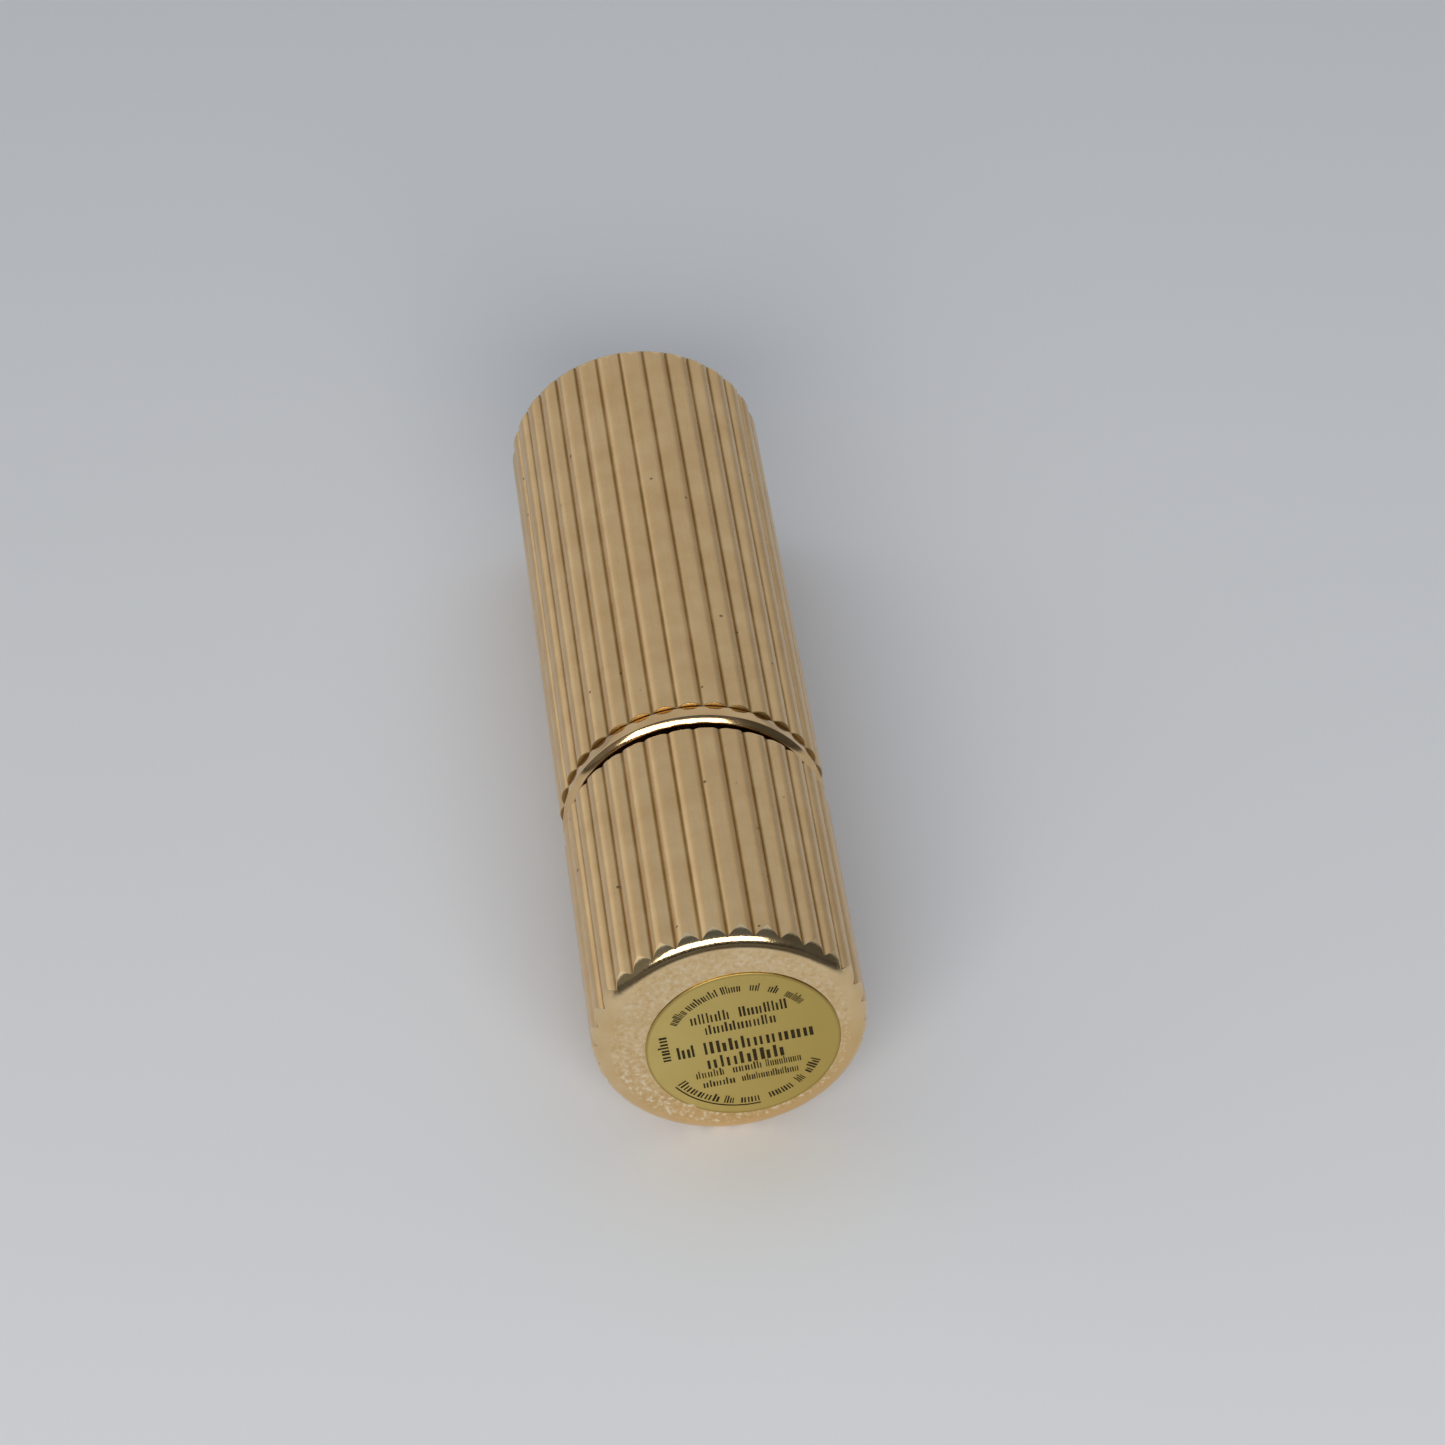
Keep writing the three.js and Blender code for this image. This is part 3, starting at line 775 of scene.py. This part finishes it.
def make_cup():
    """Cup that holds the bullet, with a soft lip and one round lug on each side."""
    hole, inner, outer, low, floor, rim = 1.5, 5.84, 6.24, 6.3, 7.1, 16.3
    edge, lip = 0.1, 0.08
    profile = [(hole, low), (outer - edge, low), (outer, low + edge), (outer, rim - edge),
               (outer - edge, rim), (inner + lip, rim), (inner, rim - edge), (inner, floor),
               (hole, floor), (hole, low)]
    verts = [round_axis(2 * math.pi * i / SEGMENTS, r, y)
             for i in range(SEGMENTS) for r, y in in_frame(profile)]
    faces = list(grid_faces(SEGMENTS, len(profile)))
    lug_r, lug_root, lug_reach, lug_edge = 0.75 * MM, 6.05 * MM, 7.24 * MM, 0.08 * MM
    rings = [(lug_r, lug_root), (lug_r, lug_reach - lug_edge), (lug_r - lug_edge, lug_reach)]
    lug_y, steps = along(LUG_HEIGHT), 32
    for side in (1, -1):
        start = len(verts)
        for r, reach in rings:
            for k in range(steps):
                a = side * 2 * math.pi * k / steps
                verts.append((r * math.cos(a), lug_y + r * math.sin(a), AXIS_Z + side * reach))
        for ring in range(len(rings) - 1):
            for k in range(steps):
                a, b = start + ring * steps + k, start + ring * steps + (k + 1) % steps
                faces.append((a, b, b + steps, a + steps))
        last = start + (len(rings) - 1) * steps
        faces.append(tuple(range(last, last + steps)))
        faces.append(tuple(reversed(range(start, start + steps))))
    return new_object("cup_body", verts, faces, [MATERIALS["ivory_plastic"]])


def make_bullet():
    """Moulded stick with a domed nose, cut off slantwise, with softened edges."""
    radius, foot, shoulder, tip, edge = 5.8, 7.15, 31.0, 40.0, 0.1
    cut_at, slant, cut_edge = along(36.4), math.radians(48), 0.18 * MM
    profile = [(0, foot), (radius - edge, foot), (radius, foot + edge)]
    profile += [(radius, y) for y in np.linspace(foot + 1, shoulder - 1, 8)]
    profile += [(radius * math.cos(a), shoulder + (tip - shoulder) * math.sin(a))
                for a in np.linspace(0, math.pi / 2, 18)]
    stick = turned("bullet_body", in_frame(profile), "lipstick_wax", BULLET_SEGMENTS)
    work = bmesh.new()
    work.from_mesh(stick.data)
    halves = bmesh.ops.bisect_plane(
        work, geom=work.verts[:] + work.edges[:] + work.faces[:],
        plane_co=(0, cut_at, AXIS_Z), plane_no=(0, math.cos(slant), -math.sin(slant)), clear_outer=True)
    rim = [e for e in halves["geom_cut"] if isinstance(e, bmesh.types.BMEdge)]
    bmesh.ops.contextual_create(work, geom=rim)
    bmesh.ops.bevel(work, geom=rim, offset=cut_edge, segments=3, affect="EDGES", profile=0.5)
    work.to_mesh(stick.data)
    work.free()
    stick.data.polygons.foreach_set("use_smooth", [True] * len(stick.data.polygons))
    stick.data.set_sharp_from_angle(angle=math.radians(SHARP_ANGLE))
    return stick


# ------------------------------------------------------------------ camera, lights, floor

VIEW_AZIMUTH, VIEW_ELEVATION = -6.61, 41.74             # degrees
VIEW_DISTANCE = 0.3654
VIEW_AIM = 35                                           # millimetres along the case
VIEW_RIGHT, VIEW_DOWN = 3.413 * MM, 1.713 * MM          # from there to the picture's middle
LENS, SENSOR, CLIP_START = 124.57, 36, 0.01


def place_camera():
    azimuth, elevation = math.radians(VIEW_AZIMUTH), math.radians(VIEW_ELEVATION)
    back = Vector((math.sin(azimuth) * math.cos(elevation), -math.cos(azimuth) * math.cos(elevation),
                   math.sin(elevation)))
    right = (-back).cross(Vector((0, 0, 1))).normalized()
    up = right.cross(-back)
    aim = Vector((0, along(VIEW_AIM), AXIS_Z)) + right * VIEW_RIGHT - up * VIEW_DOWN
    data = bpy.data.cameras.new("camera")
    data.lens = LENS
    data.sensor_width = SENSOR
    data.clip_start = CLIP_START
    camera = bpy.data.objects.new("camera", data)
    turn = Matrix((right, up, back)).transposed().to_4x4()
    camera.matrix_world = Matrix.Translation(aim + back * VIEW_DISTANCE) @ turn
    bpy.context.scene.collection.objects.link(camera)
    bpy.context.scene.camera = camera


SOFTBOX_PLACE, SOFTBOX_TARGET = Vector((-0.07, -0.53, 0.29)), Vector((0, 0, 0.01))
SOFTBOX_SIZE = (0.64, 0.255)
SOFTBOX_RADIANCE = 5.6
# Where along a direction's Y or X the room's light changes, and its strength before and after.
ROOM_BEHIND = (0.0, 0.35, 0.12, 0.59)
ROOM_FRONT = (-0.92, -0.7, 0.15, 1.0)
ROOM_LEFT = (-0.7, -0.5, 1.45, 1.0)
ROOM_RIGHT = (0.52, 0.66, 1.0, 0.65)
ROOM_TINT_CHANGE = (0.64, 0.74)         # along a direction's Z
ROOM_TINT_LOW, ROOM_TINT_HIGH = (0.95, 0.97, 0.98, 1), (0.86, 0.97, 1.15, 1)


def place_softbox():
    """One wide soft light, in front of the case and to its left."""
    data = bpy.data.lights.new("softbox", "AREA")
    data.shape = "RECTANGLE"
    data.size, data.size_y = SOFTBOX_SIZE
    data.energy = SOFTBOX_RADIANCE * math.pi * SOFTBOX_SIZE[0] * SOFTBOX_SIZE[1]
    light = bpy.data.objects.new("softbox", data)
    turn = (SOFTBOX_TARGET - SOFTBOX_PLACE).to_track_quat("-Z", "Y").to_matrix().to_4x4()
    light.matrix_world = Matrix.Translation(SOFTBOX_PLACE) @ turn
    bpy.context.scene.collection.objects.link(light)


def studio_walls():
    """Pale grey room, brighter behind the case and darker on the side toward the viewer."""
    world = bpy.data.worlds.new("studio")
    bpy.context.scene.world = world
    world.use_nodes = True
    tree = world.node_tree
    background = tree.nodes["Background"]
    coords = tree.nodes.new("ShaderNodeTexCoord")
    parts = tree.nodes.new("ShaderNodeSeparateXYZ")
    tree.links.new(coords.outputs["Generated"], parts.inputs["Vector"])

    def ramp(source, low, high, to_low, to_high):
        made = tree.nodes.new("ShaderNodeMapRange")
        made.interpolation_type = "SMOOTHSTEP"
        tree.links.new(source, made.inputs["Value"])
        for name, number in zip(RAMP_SOCKETS, (low, high, to_low, to_high)):
            made.inputs[name].default_value = number
        return made.outputs["Result"]

    def product(a, b):
        made = tree.nodes.new("ShaderNodeMath")
        made.operation = "MULTIPLY"
        tree.links.new(a, made.inputs[0])
        tree.links.new(b, made.inputs[1])
        return made.outputs[0]

    behind = ramp(parts.outputs["Y"], *ROOM_BEHIND)
    front = ramp(parts.outputs["Y"], *ROOM_FRONT)
    left = ramp(parts.outputs["X"], *ROOM_LEFT)
    right = ramp(parts.outputs["X"], *ROOM_RIGHT)
    tree.links.new(product(product(behind, front), product(left, right)), background.inputs["Strength"])
    tint = tree.nodes.new("ShaderNodeMix")
    tint.data_type = "RGBA"
    tree.links.new(ramp(parts.outputs["Z"], *ROOM_TINT_CHANGE, 0, 1), tint.inputs["Factor"])
    tint.inputs[MIX_A].default_value = ROOM_TINT_LOW
    tint.inputs[MIX_B].default_value = ROOM_TINT_HIGH
    tree.links.new(tint.outputs[MIX_RESULT], background.inputs["Color"])


FLOOR_FADE = (-79, -66)     # millimetres along Y over which the floor goes from dark to pale
# the dark colour is painted shade, standing in for the dark room in front of the case
FLOOR_PAINTED_SHADE, FLOOR_PALE = (0.03, 0.03, 0.03), (0.88, 0.88, 0.88)
FLOOR_HALF = 3.0


def make_floor():
    """Pale floor that fades into painted shade in front, so the case's end reflects a dark horizon there.
    """
    s = Shader("floor")
    pale = s.spread(s.parts(s.position())["Y"], *FLOOR_FADE)
    s.set(Base_Color=s.mix(pale, FLOOR_PAINTED_SHADE, FLOOR_PALE), Roughness=0.9)
    mesh = bpy.data.meshes.new("floor")
    corners = [(FLOOR_HALF * x, FLOOR_HALF * y, 0) for x, y in ((-1, -1), (1, -1), (1, 1), (-1, 1))]
    mesh.from_pydata(corners, [], [(0, 1, 2, 3)])
    mesh.materials.append(s.material)
    floor = bpy.data.objects.new("floor", mesh)
    bpy.context.scene.collection.objects.link(floor)


place_camera()
studio_walls()
place_softbox()
make_floor()
bpy.context.scene.view_settings.view_transform = "Standard"

finish_piece(make_base_shell(), "base", "gold_metal", "base_shell")
finish_piece(make_base_liner(), "base", "white_plastic", "base_liner")
finish_piece(make_fork_tube(), "base", "white_plastic", "fork_tube")
finish_piece(make_label(), "base", "label_film", "shade_label")
finish_piece(make_print(), "base", "label_film")
finish_piece(make_sleeve(), "sleeve", "bright_gold_metal", "sleeve_shell")
finish_piece(make_cup(), "carrier", "ivory_plastic", "carrier_cup")
finish_piece(make_bullet(), "carrier", "lipstick_wax", "lipstick_bullet")
finish_piece(make_cap_shell(), "cap", "gold_metal", "cap_shell")
finish_piece(make_mouth_ring(), "cap", "bright_gold_metal", "cap_mouth_ring")
finish_piece(make_cap_liner(), "cap", "white_plastic", "cap_liner")

CARRIED_OVER = {
    "base_weight": "steel", "drag_ring": "black_rubber", "retaining_ring": "steel",
    "spiral_tube": "ivory_plastic",
}
for node, material in CARRIED_OVER.items():
    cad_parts[node].data.materials.clear()
    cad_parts[node].data.materials.append(MATERIALS[material])
